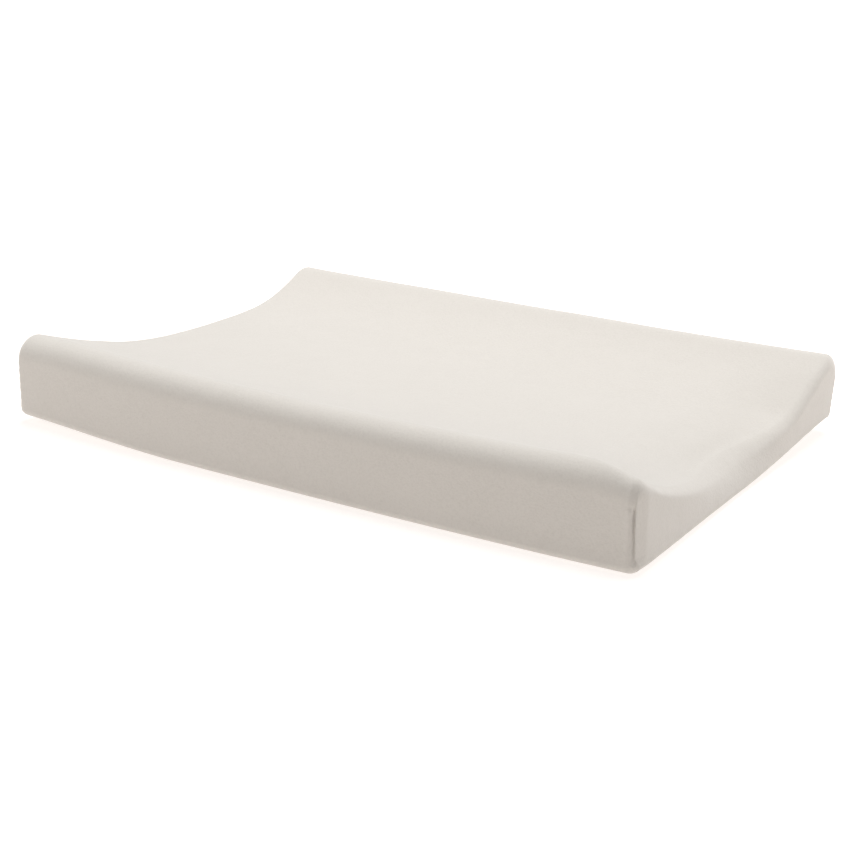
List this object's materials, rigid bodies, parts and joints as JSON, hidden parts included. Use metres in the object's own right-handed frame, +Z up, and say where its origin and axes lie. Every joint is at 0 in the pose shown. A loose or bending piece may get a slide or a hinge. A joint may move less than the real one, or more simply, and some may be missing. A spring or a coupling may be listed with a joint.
{
  "type": "changing pad",
  "caption": "Contoured foam changing pad with raised long sides, a zipped wipe-clean liner and a fitted terry cover that lifts off.",
  "frame": {"origin": "centre of the pad's underside, on the plane that it rests on", "axes": "+X along the raised long sides, +Y across the lying hollow, +Z up"},
  "size_m": [0.68, 0.528, 0.088],
  "materials": {
    "terry": "cotton terry, short looped pile",
    "terry_skirt": "cotton terry, gathered",
    "elastic": "braided elastic",
    "cover_thread": "spun polyester thread",
    "label": "blank woven satin ribbon",
    "foam": "open-cell polyurethane foam",
    "liner": "wipe-clean coated fabric, satin",
    "liner_thread": "spun polyester thread",
    "zip_tape": "woven polyester tape",
    "zip_coil": "polyester coil",
    "zip_metal": "satin metal"
  },
  "bodies": {
    "pad": {"foam_core": "foam", "liner_top_panel": "liner", "liner_front_panel": "liner", "liner_back_panel": "liner", "liner_left_end_panel": "liner", "liner_right_end_panel": "liner", "liner_base_panel": "liner", "liner_top_seam_thread": "liner_thread", "liner_base_seam_thread": "liner_thread", "zip_tape_upper": "zip_tape", "zip_tape_lower": "zip_tape", "zip_coil_upper": "zip_coil", "zip_coil_lower": "zip_coil", "zip_top_stop_upper": "zip_metal", "zip_top_stop_lower": "zip_metal", "zip_end_stop": "zip_metal"},
    "zip_slider": {"zip_slider": "zip_metal"},
    "cover": {"terry_cover": "terry", "turned_under_skirt": "terry_skirt", "hem_elastic": "elastic", "hem_stitching": "cover_thread", "corner_seam_front_left": "cover_thread", "corner_seam_front_right": "cover_thread", "corner_seam_back_left": "cover_thread", "corner_seam_back_right": "cover_thread", "care_label": "label"}
  },
  "joints": [
    {"name": "cover_lift", "type": "slide", "parent": "pad", "child": "cover", "axis": [0, 0, 1], "range_m": [0, 0.16], "deforming": ["turned_under_skirt", "hem_elastic", "hem_stitching", "care_label"]},
    {"name": "zip_slide", "type": "slide", "parent": "pad", "child": "zip_slider", "axis": [1, 0, 0], "range_m": [0, 0.438]}
  ]
}
